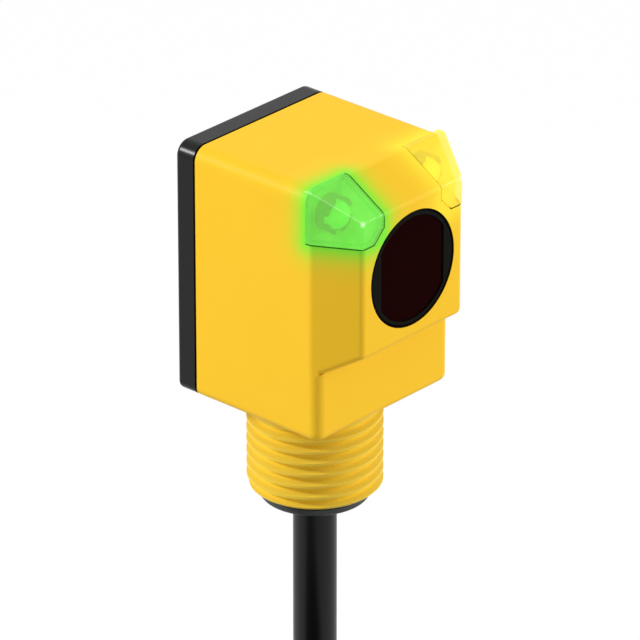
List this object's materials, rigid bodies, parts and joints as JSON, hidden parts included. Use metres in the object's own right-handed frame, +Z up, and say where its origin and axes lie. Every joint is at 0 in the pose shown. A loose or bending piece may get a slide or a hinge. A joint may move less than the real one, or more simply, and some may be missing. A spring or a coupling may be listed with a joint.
{
  "type": "through-beam sensor emitter",
  "caption": "Boxy yellow photoelectric emitter with a sloping nose, round dark lens, lit corner indicators, black rear cover, threaded base and moulded-in coiled cable.",
  "frame": {"origin": "on the threaded base's axis, in the plane of the housing's underside", "axes": "+Z up along the threaded base's axis towards the housing, -Y is the direction of the beam out of the lens, +X to the right as seen from the front"},
  "size_m": [0.0947, 0.0413, 0.1977],
  "materials": {
    "housing_yellow": "fine moulded satin",
    "cover_black": "fine moulded texture",
    "gasket_rubber": "matt",
    "bezel_black": "semi-gloss slate black",
    "lens_filter": "polished, dark maroon-black",
    "window_green": "clear, lit green from inside",
    "window_yellow": "clear, lit yellow from inside",
    "light_pipe_clear": "polished clear",
    "retainer_grey": "satin moulded",
    "indicator_green": "clear epoxy over green",
    "indicator_yellow": "clear epoxy over yellow",
    "barrel_black": "matt inside and out",
    "emitter_resin": "polished tinted resin",
    "board_green": "solder-mask gloss",
    "chip_black": "moulded matt",
    "tantalum_orange": "satin moulded",
    "resistor_dark": "glazed",
    "capacitor_tan": "fired ceramic",
    "insulation_brown": "smooth satin",
    "insulation_blue": "smooth satin",
    "potting_resin": "smooth set resin",
    "ferrule_metal": "nickel-plated brass",
    "gland_grey": "fine moulded satin",
    "jacket_black": "smooth satin extruded",
    "tie_black": "satin moulded",
    "tinned_copper": "tinned twisted strands"
  },
  "bodies": {
    "root": {"housing": "housing_yellow", "rear_cover": "cover_black", "cover_gasket": "gasket_rubber", "lens_bezel": "bezel_black", "front_lens": "lens_filter", "green_window": "window_green", "yellow_window": "window_yellow", "green_light_pipe": "light_pipe_clear", "yellow_light_pipe": "light_pipe_clear", "green_pipe_retainer": "retainer_grey", "yellow_pipe_retainer": "retainer_grey", "green_indicator_diode": "indicator_green", "yellow_indicator_diode": "indicator_yellow", "optics_barrel": "barrel_black", "emitter_diode": "emitter_resin", "circuit_board": "board_green", "driver_chip": "chip_black", "voltage_regulator": "chip_black", "tantalum_capacitor": "tantalum_orange", "protection_diode": "chip_black", "chip_resistors": "resistor_dark", "chip_capacitors": "capacitor_tan", "brown_wire": "insulation_brown", "blue_wire": "insulation_blue", "potting_plug": "potting_resin", "crimp_ferrule": "ferrule_metal", "cable_gland": "gland_grey", "gland_washer": "gasket_rubber", "gland_sealing_ring": "gasket_rubber", "cable": "jacket_black", "cable_coil": "jacket_black", "cable_tail": "jacket_black", "cable_ties": "tie_black", "brown_lead": "insulation_brown", "blue_lead": "insulation_blue", "lead_tips": "tinned_copper"}
  },
  "joints": []
}
